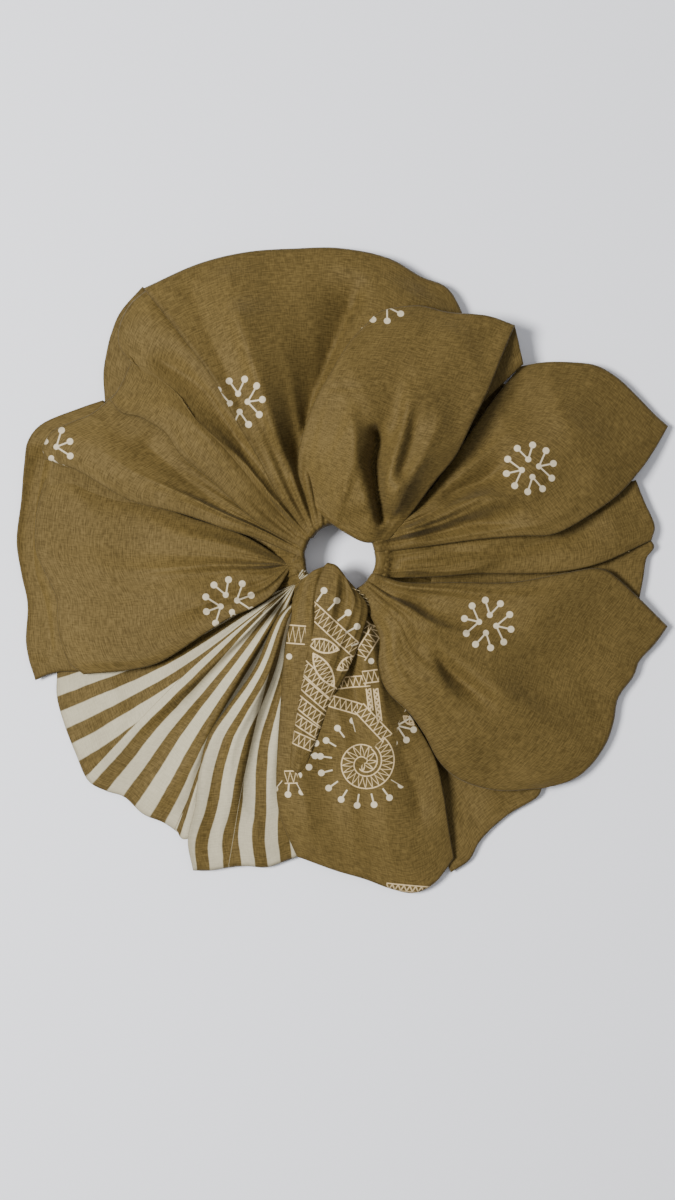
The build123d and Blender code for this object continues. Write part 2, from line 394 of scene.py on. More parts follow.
class Signal:
    # a value passed between shader nodes, with ordinary sums
    def __init__(self, tree, out):
        self.tree, self.out = tree, out

    def math(self, kind, *rest):
        node = self.tree.nodes.new("ShaderNodeMath")
        node.operation = kind
        for i, value in enumerate((self,) + rest):
            if isinstance(value, Signal):
                self.tree.links.new(value.out, node.inputs[i])
            else:
                node.inputs[i].default_value = value
        return Signal(self.tree, node.outputs[0])

    def __add__(self, other):
        return self.math("ADD", other)

    def __sub__(self, other):
        return self.math("SUBTRACT", other)

    def __mul__(self, other):
        return self.math("MULTIPLY", other)

    def __truediv__(self, other):
        return self.math("DIVIDE", other)

    def __neg__(self):
        return self * -1

    def size(self):
        return self.math("ABSOLUTE")

    def least(self, other):
        return self.math("MINIMUM", other)

    def most(self, other):
        return self.math("MAXIMUM", other)

    def kept(self, low=0.0, high=1.0):
        return self.most(low).least(high)


def length(x, y):
    return (x * x + y * y).math("SQRT")


def under(value, limit, soft=0.1):
    # 1 where the value is below the limit
    return ((-value + (limit + soft)) * (0.5 / soft)).kept()


def wave(x):
    # a zigzag from -1 to 1 with a period of 1
    return (x.math("FRACT") * 2 - 1).size() * 2 - 1


def turned(x, y, centre, angle):
    c, s = math.cos(math.radians(angle)), math.sin(math.radians(angle))
    dx, dy = x - centre[0], y - centre[1]
    return dx * c + dy * s, dy * c - dx * s


def dot(x, y, place, radius):
    return under(length(x - place[0], y - place[1]), radius)


def stroke(x, y, a, b, width):
    dx, dy = b[0] - a[0], b[1] - a[1]
    px, py = x - a[0], y - a[1]
    t = ((px * dx + py * dy) / (dx * dx + dy * dy)).kept()
    return under(length(px - t * dx, py - t * dy), width / 2)


def together(marks):
    # all the marks of a list in one
    ink = marks[0]
    for mark in marks[1:]:
        ink = ink.most(mark)
    return ink


# the dotted burst, mm
burstShape = {"inner": 2.8, "outer": 7.6, "heart": 0.95, "head": 1.08, "stalk": 0.5}


def burst(x, y, motif):
    # four small hearts, each with two or three pinned dots around it
    u, v = turned(x, y, motif["centre"], motif["turn"])
    u, v = u.size(), v.size()
    inner, outer = burstShape["inner"], burstShape["outer"]
    marks = []
    for heart, angles in (((inner, 0), (0, 36)), ((0, inner * 1.04), (71,))):
        marks.append(dot(u, v, heart, burstShape["heart"]))
        for angle in angles:
            tip = (outer * math.cos(math.radians(angle)), outer * math.sin(math.radians(angle)))
            marks += [dot(u, v, tip, burstShape["head"]), stroke(u, v, heart, tip, burstShape["stalk"])]
    return together(marks)


def zigzag(along, across, half, pitch, line=0.42):
    # a ribbon with an edge line on both sides and a zigzag between them
    edge = under((across.size() - half).size(), line / 2, 0.09)
    tooth = under((wave(along / pitch) * (half * 0.86) - across).size(), line * 0.95, 0.3)
    return edge.most(tooth * under(across.size(), half))


def ribbon(x, y, a, b, half, pitch=1.9):
    run = math.dist(a, b)
    s, d = turned(x, y, a, math.degrees(math.atan2(b[1] - a[1], b[0] - a[0])))
    inside = under(d.size(), half + 0.2) * under((s - run / 2).size(), run / 2)
    return zigzag(s, d, half, pitch) * inside, inside


def bend(x, y, centre, radius, half, start, stop, pitch=1.9):
    # the same ribbon along part of a circle, angles in degrees
    middle, sweep = (start + stop) / 2, abs(stop - start) / 2
    u, v = turned(x, y, centre, middle)
    angle = v.math("ARCTAN2", u)
    d = length(u, v) - radius
    inside = under(angle.size(), math.radians(sweep), 0.02) * under(d.size(), half + 0.2)
    return zigzag(angle * radius, d, half, pitch) * inside, inside


def leaf(x, y, centre, turn, long, wide, pitch=1.5):
    s, d = turned(x, y, centre, turn)
    t = (s / long).kept(-1, 1)
    half = (t * t * -1 + 1) * wide
    out = d.size() - half
    inside = under(out, 0) * under(s.size(), long)
    edge = under(out.size(), 0.26) * under(s.size(), long + 0.2)
    tooth = under((wave(s / pitch) * (half * 0.85) - d).size(), 0.42, 0.25)
    return edge.most(tooth * inside), inside


def scroll(x, y, place):
    # a ribbon wound into a spiral, with pins around part of it
    u, v = turned(x, y, place["centre"], place["turn"])
    r = length(u, v)
    way = (v.math("ARCTAN2", u) * (-0.5 / math.pi)).math("FRACT")
    marks = []
    first, fall, half = place["first"], place["fall"], place["half"]
    for lap in (0, 1):
        t = way + lap
        width = half - lap * 0.35
        d = r - (t * -fall + first)
        s = (t * first - t * t * (fall / 2)) * (2 * math.pi)
        inside = under(t, place["laps"], 0.01) * under(d.size(), width + 0.2)
        if lap == 0:
            inside = inside * under(-t, -place["skip"], 0.01)
        marks.append(zigzag(s, d, width, 1.75) * inside)
    return together(marks)


def pins(x, y, fan):
    # pins with a dot at each end, spread around a centre
    middle = (fan["from"] + fan["to"]) / 2
    u, v = turned(x, y, fan["centre"], middle)
    step = math.radians(fan["step"])
    angle = v.math("ARCTAN2", u)
    near = (angle / step).math("ROUND") * step
    r = length(u, v)
    px, py = r * (angle - near).math("COSINE"), r * (angle - near).math("SINE")
    reach = under(angle.size(), math.radians(abs(fan["to"] - fan["from"]) / 2 + fan["step"] / 2), 0.01)
    root, tip = fan["root"], fan["tip"]
    pin = under(py.size(), 0.25) * under((px - (root + tip) / 2).size(), (tip - root) / 2)
    return pin.most(dot(px, py, (tip, 0), 1.05)) * reach


def noiseOf(tree, coords, scale, detail, roughness=0.5):
    # a cloudy noise on the given coordinates, 0 to 1
    node = tree.nodes.new("ShaderNodeTexNoise")
    node.inputs["Scale"].default_value = scale
    node.inputs["Detail"].default_value = detail
    node.inputs["Roughness"].default_value = roughness
    tree.links.new(coords, node.inputs["Vector"])
    return Signal(tree, node.outputs[0])


def scaled(tree, coords, scale):
    node = tree.nodes.new("ShaderNodeMapping")
    node.inputs["Scale"].default_value = scale
    tree.links.new(coords, node.inputs[0])
    return node.outputs[0]


def spreadSheet(tree, coords):
    # both directions of the coordinates, mm
    node = tree.nodes.new("ShaderNodeSeparateXYZ")
    tree.links.new(coords, node.inputs[0])
    return Signal(tree, node.outputs[0]) * 1000, Signal(tree, node.outputs[1]) * 1000


def sheetCoords(tree):
    node = tree.nodes.new("ShaderNodeUVMap")
    node.uv_map = "clothUV"
    return node.outputs[0]


def addBump(tree, shade, height, strength, distance):
    bump = tree.nodes.new("ShaderNodeBump")
    bump.inputs["Strength"].default_value = strength
    bump.inputs["Distance"].default_value = distance
    tree.links.new(height.out, bump.inputs["Height"])
    tree.links.new(bump.outputs[0], shade.inputs["Normal"])


def mixColour(tree, ground, ink, share):
    node = tree.nodes.new("ShaderNodeMix")
    node.data_type = "RGBA"
    tree.links.new(share.out, node.inputs["Factor"])
    for name, value in (("A", ground), ("B", ink)):
        socket = [i for i in node.inputs if i.name == name and i.type == "RGBA"][0]
        if isinstance(value, tuple):
            socket.default_value = (*value, 1)
        else:
            tree.links.new(value, socket)
    return [o for o in node.outputs if o.type == "RGBA"][0]


dyes = {
    "olive": (0.128, 0.0865, 0.0250),
    "oliveDeep": (0.064, 0.0420, 0.0100),
    "cream": (0.46, 0.41, 0.28),
    "ink": (0.56, 0.48, 0.33),
    "warmInk": (0.62, 0.47, 0.26),
}

# crepe: a fine weave with uneven threads, slow mottling of the dye, and the strength of the painted
# shade along the folds' edges
crepe = {
    "weft": (330, 2500, 1000),
    "warp": (2200, 420, 1000),
    "mottle": 46.0,
    "crumple": 520.0,
    "pitch": 0.42,         # from one thread to the next, mm
    "contrast": {"mottle": 0.8, "weft": 2.5, "warp": 1.6},
    # how far the painted shade darkens the colour along a fold's edge
    "pressedDark": 0.42,
    "bump": (0.6, 0.00022),
}


def stripedShare(x, y, u, stripes, mottle):
    # how much of the pale stripe shows at each place
    shift = (mottle - 0.5) * 1.6 + stripes["shift"]
    for a, b, slip, tilt in stripes.get("creases", ()):
        # across a crease part of the cloth is tucked out of sight
        s, d = turned(x, y, a, math.degrees(math.atan2(b[1] - a[1], b[0] - a[0])))
        bow = (s * (math.pi / math.dist(a, b))).math("SINE") * 2.2
        shift = shift + under(d + bow, 0, 0.08) * (s * tilt + slip)
    edge = ((u + shift) / stripes["pitch"]).math("FRACT")
    return under((edge - 0.5).size() * stripes["pitch"], stripes["cream"] / 2, 0.16)


def clothMaterial(name, prints=(), stripes=None, ornament=None):
    mat = bpy.data.materials.new(name)
    mat.use_nodes = True
    tree = mat.node_tree
    shade = tree.nodes["Principled BSDF"]
    link = tree.links.new
    place = tree.nodes.new("ShaderNodeTexCoord").outputs["Object"]
    woven = sheetCoords(tree)
    x, y = spreadSheet(tree, place)
    u, v = spreadSheet(tree, woven)

    weft = noiseOf(tree, scaled(tree, woven, crepe["weft"]), 1.0, 2.0)
    warp = noiseOf(tree, scaled(tree, woven, crepe["warp"]), 1.0, 2.0)
    mottle = noiseOf(tree, place, crepe["mottle"], 4.0, 0.6)
    crumple = noiseOf(tree, place, crepe["crumple"], 3.0, 0.55)
    turn = 2 * math.pi / crepe["pitch"]
    threads = (u * turn).math("SINE") * (v * turn).math("SINE")
    height = weft * 0.5 + warp * 0.3 + threads * 0.06 + crumple * 0.35

    much = crepe["contrast"]
    tone = (mottle - 0.5) * much["mottle"] + (weft - 0.5) * much["weft"] + (warp - 0.5) * much["warp"]
    tone = (tone + 0.5).kept()
    colour = mixColour(tree, dyes["oliveDeep"], dyes["olive"], tone)
    if stripes:
        pale = mixColour(tree, tuple(c * 0.84 for c in dyes["cream"]), dyes["cream"], tone)
        colour = mixColour(tree, colour, pale, stripedShare(x, y, u, stripes, mottle))
    if prints:
        ink = together([burst(x, y, motif) for motif in prints])
        colour = mixColour(tree, colour, dyes["ink"], ink * (tone * 0.2 + 0.84).least(1.0))
    if ornament:
        warm, pale = ornament(x, y)
        colour = mixColour(tree, colour, dyes["warmInk"], warm * (tone * 0.25 + 0.75).least(1.0))
        colour = mixColour(tree, colour, dyes["ink"], pale)
    # painted shade: the colour darkens towards the deep olive along a fold's edge, where the layers
    # overlap and the cloth turns under
    edge = tree.nodes.new("ShaderNodeAttribute")
    edge.attribute_name = "pressed"
    paintedShade = tuple(c * 0.6 for c in dyes["oliveDeep"])
    colour = mixColour(tree, colour, paintedShade, Signal(tree, edge.outputs["Fac"]) * crepe["pressedDark"])
    link(colour, shade.inputs["Base Color"])
    link((tone * -0.08 + 0.72).out, shade.inputs["Roughness"])
    shade.inputs["Specular IOR Level"].default_value = 0.14
    shade.inputs["Sheen Weight"].default_value = 0.06
    shade.inputs["Sheen Roughness"].default_value = 0.45
    shade.inputs["Sheen Tint"].default_value = (0.95, 0.85, 0.62, 1)
    addBump(tree, shade, height, *crepe["bump"])
    return mat


def ornamentOf(ribbons=(), bends=(), leaves=(), scrolls=(), fans=(), dots=()):
    # builds the drawn ornament of one piece: later marks lie over the earlier ones
    def draw(x, y):
        warm = None
        for kind, marks in ((bend, bends), (ribbon, ribbons), (leaf, leaves)):
            for values in marks:
                mark, inside = kind(x, y, *values)
                warm = mark if warm is None else warm * (-inside + 1) + mark
        warm = together([warm] + [scroll(x, y, place) for place in scrolls])
        pale = [pins(x, y, fan) for fan in fans] + [dot(x, y, place, 0.95) for place in dots]
        return warm.kept(), together(pale)
    return draw


# the petals: each is one pressed double fold of the tube, points in mm
# sideA is the anticlockwise side, sideB the clockwise one, both from the opening outwards
petals = {}


def fold(rise, soft, path, fade=(0.15, 0.3)):
    # a ridge along a path, or with a negative rise a furrow; soft is its width on each side, and
    # fade the shares of the path over which it begins and dies away
    return {"rise": rise, "soft": soft, "path": path, "fade": fade}


petals["petalTopBack"] = {
    "body": "fold_02", "span": (146, 92), "seed": 3, "puff": 3.7, "crown": 1.7, "swell": 1.2,
    "sideA": [(-13, 11, 12), (-19, 19, 15.5), (-26, 32, 18), (-33, 44, 19), (-39, 55, 18.5),
              (-46, 65, 16.5), (-55, 77, 12), (-63, 87, 7.5)],
    "rim": [(-63, 87, 7.5), (-46, 95, 6), (-30, 99, 5.5), (-14, 100, 6), (0, 100, 6.5), (15, 97, 6.5),
            (26, 91, 6), (35, 87, 5.5), (41, 76, 5)],
    "sideB": [(-2, 17, 10), (8, 32, 10.5), (20, 50, 10), (32, 64, 8), (41, 76, 5)],
    "folds": [
        fold(4.4, (6, 2.6), [(-36, 84), (-30, 68), (-25, 53), (-21, 41), (-18, 29), (-15, 18)]),
        fold(-9.0, (3, 9), [(8, 94), (3, 79), (-5, 61), (-10, 47), (-13, 35),
             (-14.5, 24)], (0.2, 0.15)),
        fold(-2.0, (4, 5), [(-50, 92), (-43, 74), (-35, 56), (-27, 38)]),
        fold(1.6, (6, 9), [(30, 88), (12, 72), (2, 58)], (0.3, 0.3)),
    ],
}
petals["petalUpperLeft"] = {
    "body": "fold_01", "span": (166, 130), "seed": 11, "puff": 3.4, "crown": 2.0, "swell": 1.0,
    "sideA": [(-16, 5, 11.5), (-26, 11, 13.5), (-35, 19, 14.5), (-42, 25.5, 15), (-51, 33, 14.5),
              (-56, 40, 13.5), (-64, 45, 12), (-70, 46.5, 11), (-74, 51, 9)],
    "rim": [(-74, 51, 9), (-71, 55, 8.5), (-67.5, 63, 8), (-68, 65.5, 7.5), (-71, 68, 7),
            (-71.5, 74, 6.5), (-68, 82, 6), (-60, 89, 5.5)],
    "sideB": [(-13, 11, 11), (-14, 22, 12.5), (-22, 40, 13), (-36, 60, 12), (-50, 78, 8.5),
              (-60, 89, 5.5)],
    "folds": [
        fold(-3.5, (5, 4.5), [(-63, 66), (-52, 60), (-42, 52), (-33, 38), (-24, 22)]),
        fold(2.2, (5, 5), [(-60, 52), (-48, 44), (-38, 33), (-28, 20), (-20, 10)]),
    ],
}
petals["petalUpperLeftBack"] = {
    "body": "fold_01", "stands": [], "seed": 12, "puff": 1.9, "crown": 0.3, "swell": 0.3, "gather": 0.2,
    "sideA": [(-40, 26, 7), (-60, 40, 6), (-76, 51, 4.2)],
    "rim": [(-76, 51, 4.2), (-76.5, 60, 4), (-75.5, 67, 4), (-74, 73, 4), (-71, 80, 4), (-64, 88, 4)],
    "sideB": [(-32, 36, 7), (-48, 64, 6), (-64, 88, 4)],
}
petals["petalLeft"] = {
    "body": "fold_12", "span": (179, 150), "seed": 23, "puff": 2.8, "crown": 1.5, "swell": 0.8,
    "sideA": [(-16, 2.5, 11), (-26, 6, 12), (-37, 9.5, 12), (-50, 14, 11.5), (-66, 18, 11.5),
              (-74, 22, 11.5), (-84, 28, 9.5), (-95, 32, 7)],
    "rim": [(-95, 32, 7), (-96, 36, 6.5), (-93, 41, 6.5), (-87, 44, 6.5), (-80, 47, 6.5),
            (-73, 53, 6.5)],
    "sideB": [(-15.5, 6, 10), (-30, 20, 9.5), (-48, 36, 9), (-62, 47, 8), (-73, 53, 6.5)],
    "folds": [
        fold(-2.2, (6, 5), [(-66, 40), (-56, 31), (-44, 21), (-32, 12)]),
        fold(1.2, (3, 3), [(-60, 21), (-46, 17.5), (-34, 13), (-24, 8)]),
    ],
}
petals["petalLeftFlat"] = {
    "body": "fold_11", "span": (203, 168), "seed": 31, "puff": 2.2, "crown": 1.4, "swell": 0.6,
    "sideA": [(-15, 1.5, 9.5), (-30, 7, 7.5), (-50, 14, 6), (-70, 22, 5), (-93, 32, 5)],
    "rim": [(-93, 32, 5.5), (-97, 20, 6.5), (-98.5, 10, 7), (-98, 2, 7), (-94.5, -6, 7),
            (-91.5, -13, 7), (-91, -23, 6.5), (-88, -33, 6), (-83, -37.5, 5.5)],
    "sideB": [(-15, -4, 10), (-20, -10, 11.5), (-27, -15.5, 12), (-35, -19, 12), (-43, -24, 11),
              (-57, -33, 9), (-68, -36, 7.6), (-83, -37.5, 5.5)],
    "folds": [
        fold(1.4, (2, 2), [(-40, -6), (-30, -5), (-22, -5), (-16, -3)]),
        fold(-1.4, (2.5, 2.5), [(-42, -14), (-32, -10), (-22, -8)]),
    ],
}
petals["petalLeftBack"] = {
    "body": "fold_11", "stands": [], "seed": 37, "puff": 2.0, "crown": 0.3, "swell": 0.3, "gather": 0.2,
    "sideA": [(-42, 22, 4.5), (-60, 40, 4), (-77, 51.5, 3.4)],
    "rim": [(-77, 51.5, 3.6), (-84, 49, 4.6), (-96, 44, 5.6), (-101, 38, 6.4), (-102.5, 30, 6.6),
            (-103.5, 19, 6.6), (-105, 6, 6.6), (-103.5, -5, 6.6), (-101.5, -15, 6.4), (-102, -28, 5.6),
            (-99, -39.5, 4.4)],
    "sideB": [(-45, -22, 4.5), (-76, -35, 3.6), (-92, -37, 3.2), (-99, -39.5, 3)],
    "folds": [
        fold(-5.0, (1.5, 6), [(-95, 37), (-98.6, 20), (-100, 8), (-99.4, -4), (-96.5, -15),
             (-95, -34)], (0.08, 0.08)),
    ],
}
petals["petalStripedLeft"] = {
    "body": "fold_10", "span": (213, 197), "fan": 0.8, "seed": 41, "puff": 2.0, "crown": 1.4,
    "swell": 1.0, "ripple": 0.6,
    "sideA": [(-14.5, -4.5, 8), (-30, -14, 4.6), (-55, -26, 3.0), (-78, -33, 2.6), (-92, -37, 2.6)],
    "rim": [(-92, -37, 2.6), (-92, -45, 2.8), (-89.5, -54, 2.8), (-86, -63, 2.8), (-82, -72, 2.8),
            (-76, -75.5, 3), (-70, -77.5, 2.8), (-64, -83, 3), (-57, -86, 2.8), (-50, -91, 2.6)],
    "sideB": [(-13, -10, 8.5), (-23, -33, 6), (-36, -58, 4), (-44, -78, 3), (-50, -91, 2.6)],
    "folds": [
        fold(3.4, (1.6, 7), [(-18, -12), (-34, -27), (-54, -46), (-76, -64)], (0.1, 0.45)),
        fold(3.0, (1.6, 5), [(-18, -15), (-31, -36), (-44, -60), (-52, -82)], (0.1, 0.4)),
        fold(1.2, (3, 3), [(-20, -12), (-40, -27), (-62, -42), (-88, -52)], (0.1, 0.5)),
    ],
}
petals["petalStripedRight"] = {
    "body": "fold_09", "span": (236, 208), "fan": 0.8, "seed": 43, "puff": 2.2, "crown": 1.4,
    "swell": 1.0, "ripple": 0.6,
    "sideA": [(-14, -8, 10), (-19, -18, 10.5), (-27, -35, 10), (-36, -48, 9.5), (-42, -57, 9),
              (-45, -68, 8), (-46.5, -80, 7), (-49, -91, 5.5), (-47.5, -101, 4)],
    "rim": [(-47.5, -101, 4), (-42, -101, 3.6), (-36, -100, 3.6), (-30, -99.5, 3.6), (-24, -100, 3.6),
            (-18, -98, 3.6), (-10, -95, 4)],
    "sideB": [(-10, -14, 9), (-11, -38, 7), (-11, -66, 6), (-10, -95, 4)],
    "folds": [
        fold(3.2, (1.5, 5), [(-14, -13), (-22, -34), (-30, -60), (-36, -92)], (0.1, 0.35)),
        fold(2.0, (3, 2.5), [(-12, -16), (-17, -36), (-21, -62), (-24, -90)], (0.1, 0.5)),
    ],
}
petals["flapStriped"] = {
    "body": "fold_09", "stands": [], "fan": 0.3, "seed": 47, "puff": 1.4, "crown": 0.3, "swell": 0.2,
    "gather": 0.2,
    "sideA": [(-38, -52, 6.5), (-45, -66, 5.4), (-50, -80, 4.6), (-53, -88, 4)],
    "rim": [(-53, -88, 4), (-51, -91, 4), (-46, -90, 4)],
    "sideB": [(-34, -52, 6.5), (-40, -68, 5.4), (-44, -80, 4.6), (-46, -90, 4)],
}
petals["petalOrnament"] = {
    "body": "fold_08", "seed": 53, "puff": 3.1, "crown": 1.9, "swell": 0.8, "roll": 1.8,
    "base": [(-13, -8, 12), (-9, -5, 12.5), (-3, -4, 12.5), (3, -9, 12), (9, -14, 10.5)],
    "sideA": [(-13, -8, 12), (-16, -17, 12.5), (-18, -32, 12.5), (-19, -46, 11.5), (-20, -60, 10.5),
              (-20.5, -74, 9), (-19, -84, 7.5), (-14, -96.5, 5)],
    "rim": [(-14, -96.5, 5), (-2, -101, 4.5), (8, -104, 4), (16, -107, 4), (24, -108.5, 4),
            (31, -105, 4), (37, -97, 4.5)],
    "sideB": [(9, -14, 10.5), (14, -28, 10.5), (18, -42, 10), (22.5, -50, 9.5), (27, -57, 9.5),
              (31, -65, 9), (33.5, -76, 8), (35, -86, 7), (37, -97, 4.5)],
    "folds": [
        fold(2.2, (3, 3), [(8, -22), (8, -34), (9, -46), (14, -60)]),
        fold(-3.0, (3, 3), [(1, -30), (4, -40), (6, -50)]),
        fold(-1.9, (4, 4), [(18, -58), (24, -74), (27, -88)]),
        fold(1.1, (4, 4), [(-14, -60), (-12, -75), (-8, -92)]),
    ],
}
petals["foldOrnament"] = {
    "body": "fold_08", "stands": [], "seed": 59, "puff": 2.0, "crown": 1.2, "swell": 0.3, "gather": 0.5,
    "roll": 1.6,
    "base": [(-5, -2.5, 14.5), (-1, -4, 15), (5, -10, 14.5)],
    "sideA": [(-5, -2.5, 14.5), (-8.5, -12, 15.5), (-10, -26, 15.5), (-13, -45, 14), (-15.5, -60, 12.5),
              (-16, -67, 11.6)],
    "rim": [(-16, -67, 11.6), (-13.5, -69, 11.6), (-11, -67, 11.6)],
    "sideB": [(5, -10, 14.5), (9, -16, 15), (6.5, -26, 15.5), (2.5, -36, 15.5), (-2.5, -45, 14.5),
              (-6, -54, 13.5), (-11, -67, 11.6)],
}
petals["petalLowerBack"] = {
    "body": "fold_07", "span": (312, 280), "seed": 61, "puff": 1.9, "crown": 1.0, "swell": 0.6,
    "sideA": [(14, -12, 7), (32, -38, 5.5), (50, -58, 4.5), (66, -73, 3.6)],
    "rim": [(66, -73, 3.6), (64.5, -77, 3.2), (61, -79.5, 3), (55, -83, 2.8), (49, -88, 2.8),
            (45, -92.5, 2.8), (42, -98, 2.8), (36, -102, 2.8)],
    "sideB": [(7, -14, 7), (16, -46, 5), (25, -74, 3.8), (36, -102, 2.8)],
    "folds": [
        fold(-1.1, (4, 4), [(28, -60), (38, -74), (46, -86)]),
    ],
}
petals["petalLowerRight"] = {
    "body": "fold_06", "span": (336, 296), "seed": 67, "puff": 3.7, "crown": 1.9, "swell": 1.0,
    "sideA": [(14, -9, 12), (21, -8, 13.5), (37, -8, 14), (55, -8, 13), (72, -5, 11.5), (83, -3.5, 9.5),
              (90, -7, 7.5), (106, -22, 4)],
    "rim": [(106, -22, 4), (102, -27.5, 4), (97, -33, 4), (95, -38, 4), (90, -45, 4.4),
            (88.5, -53, 4.4), (86, -60, 4.4), (81, -67, 4.6), (75, -71.5, 5), (66, -74, 6)],
    "sideB": [(12, -16, 12.5), (12.5, -24, 14.5), (12.5, -34, 15), (15, -42, 15), (22, -49, 14.5),
              (27, -56, 13.5), (32, -65, 12), (39, -71, 10), (51, -74.5, 8), (66, -74, 6)],
    "folds": [
        fold(4.1, (2.6, 6.0), [(16, -13), (23, -19), (28, -28), (32, -38), (40, -50)], (0.05, 0.45)),
        fold(-3.8, (3.2, 4.5), [(22, -20), (31, -32), (42, -42), (52, -50)], (0.2, 0.5)),
        fold(3.5, (5, 3.0), [(24, -19), (34, -30), (48, -41), (64, -51), (80, -60)], (0.1, 0.4)),
        fold(-1.2, (8, 8), [(60, -20), (76, -34), (88, -46)], (0.3, 0.3)),
    ],
}
petals["petalRightRoll"] = {
    "body": "fold_05", "span": (376, 330), "seed": 71, "puff": 2.6, "crown": 1.4, "swell": 0.7,
    "sideA": [(13.5, 3, 9.5), (40, 10, 7.5), (70, 18, 6), (96, 25.5, 4.5)],
    "rim": [(96, 25.5, 4.5), (98.5, 19, 4.5), (102, 11, 4.5), (101, 6, 5)],
    "sideB": [(14, -7, 10.5), (31, -6, 11.5), (43, -5, 11.5), (55, -5, 10.5), (70, -4.5, 9.5),
              (84, -1.5, 8.5), (101, 6, 5)],
    "folds": [
        fold(3.0, (3, 2), [(18, -4), (32, -4.4), (44, -3), (53, 1)], (0.1, 0.35)),
        fold(-2.7, (4, 4), [(24, 3), (40, 2), (56, 3), (74, 8), (92, 14)], (0.2, 0.3)),
    ],
}
petals["petalRightBack"] = {
    "body": "fold_05", "stands": [], "seed": 73, "puff": 1.6, "crown": 0.5, "swell": 0.4, "gather": 0.3,
    "sideA": [(30, 0, 6), (60, 4, 5), (99, 8, 3.6)],
    "rim": [(99, 8, 3.6), (102, 4, 3.6), (99.5, 0, 3.6), (98.5, -6, 3.6), (97, -14, 3.6)],
    "sideB": [(30, -14, 6), (62, -17, 4.6), (97, -14, 3.6)],
}
petals["petalUpperRight"] = {
    "body": "fold_04", "span": (412, 368), "seed": 79, "puff": 3.4, "crown": 2.2, "swell": 1.0,
    "sideA": [(15, 7, 11), (24, 17, 10.5), (36, 32, 10), (47, 48, 9), (58, 62, 6.5)],
    "rim": [(58, 62, 6.5), (66, 63.5, 6), (75, 63.5, 6), (83, 62.5, 5.5), (90, 58.5, 5), (97, 52, 4.5),
            (102, 47, 4), (106.5, 43, 4)],
    "sideB": [(14.5, 2.5, 11.5), (30, 4, 12.5), (45, 6, 13), (58, 7, 13.5), (68, 7.5, 13.5),
              (78, 12.5, 12), (89, 20, 9.5), (97, 28.5, 7), (102, 35.5, 5.5), (106.5, 43, 4)],
    "folds": [
        fold(3.2, (4, 3.2), [(17, 8), (28, 17), (39, 27), (51, 37), (62, 48)], (0.05, 0.5)),
        fold(-3.5, (3, 4), [(30, 17), (38, 22), (46, 25), (56, 34)], (0.25, 0.45)),
        fold(3.2, (2.2, 4), [(19, 7), (30, 14), (42, 18.5), (54, 18), (66, 13)], (0.05, 0.4)),
        fold(-2.4, (3, 3), [(24, 8), (36, 12), (50, 11), (64, 11)], (0.2, 0.4)),
        fold(1.6, (9, 9), [(64, 50), (78, 40), (92, 38)], (0.3, 0.4)),
    ],
}
petals["petalTop"] = {
    "body": "fold_03", "seed": 83, "puff": 4.0, "crown": 2.5, "swell": 1.0, "roll": 2.2, "drop": 8,
    "base": [(-13, 22, 14), (-8, 17.5, 15), (-3, 13.5, 15), (4, 9, 15), (10, 6, 14), (16, 6, 13)],
    "sideA": [(-13, 22, 14), (-13, 34, 18), (-8.5, 48, 20.5), (-3, 58, 21), (3, 68, 19), (10, 76, 15)],
    "rim": [(10, 76, 15), (14, 79, 14), (25, 80.5, 13.5), (35, 78.5, 13), (47, 77.5, 12.5),
            (56, 74.5, 12)],
    "sideB": [(16, 6, 13), (23, 14.5, 16), (30, 24, 18), (36.5, 32, 19), (42, 43, 19), (47, 53, 17.5),
              (51.5, 64, 15), (56, 74.5, 12)],
    "folds": [
        fold(4.6, (5.5, 1.8), [(21, 58), (21, 47), (19, 38), (16.5, 30), (14.5, 22),
             (14, 14)], (0.3, 0.2)),
        fold(-11.0, (2.2, 1.4), [(11, 43), (11.5, 36), (10.5, 30), (11.5, 22), (12.6, 15),
             (13.2, 9)], (0.16, 0.12)),
        fold(3.5, (2.6, 6), [(2, 52), (4, 42), (5, 32), (7, 22), (9, 13)], (0.35, 0.12)),
        fold(-3.2, (3, 3), [(24, 50), (23, 40), (21, 32), (18, 22)], (0.35, 0.2)),
        fold(2.4, (3.2, 3.2), [(34, 50), (29, 38), (23, 26), (17, 13)], (0.4, 0.08)),
        fold(-0.5, (0.9, 0.9), [(-6, 53.5), (6, 53), (20, 54)], (0.2, 0.3)),
    ],
}
petals["petalTopBackCorner"] = {
    "body": "fold_03", "stands": [], "seed": 89, "puff": 1.6, "crown": 0.3, "swell": 0.2, "gather": 0.2,
    "sideA": [(30, 46, 13), (44, 62, 12), (56, 75, 10)],
    "rim": [(56, 75, 10), (57.5, 69, 9.4), (59, 62.5, 9)],
    "sideB": [(34, 38, 13), (48, 52, 11), (59, 62.5, 9)],
}

petals["tuckedEnd"] = {
    "body": "tucked_end", "stands": ["tucked_tube_end"], "seed": 97, "puff": 1.8, "crown": 0.3,
    "swell": 0.2, "gather": 0.4, "drop": 4,
    "base": [(7.5, -12.5, 7), (9.4, -12.2, 7), (11.5, -10, 7)],
    "sideA": [(11.5, -10, 7), (27, -33, 4.6), (41, -52, 3.4)],
    "rim": [(41, -52, 3.4), (36, -57, 3.4), (31, -58, 3.4)],
    "sideB": [(7.5, -12.5, 7), (20, -37, 4.6), (31, -58, 3.4)],
}


# the gathered casing around the opening, from the middle of one fold to the middle of the next

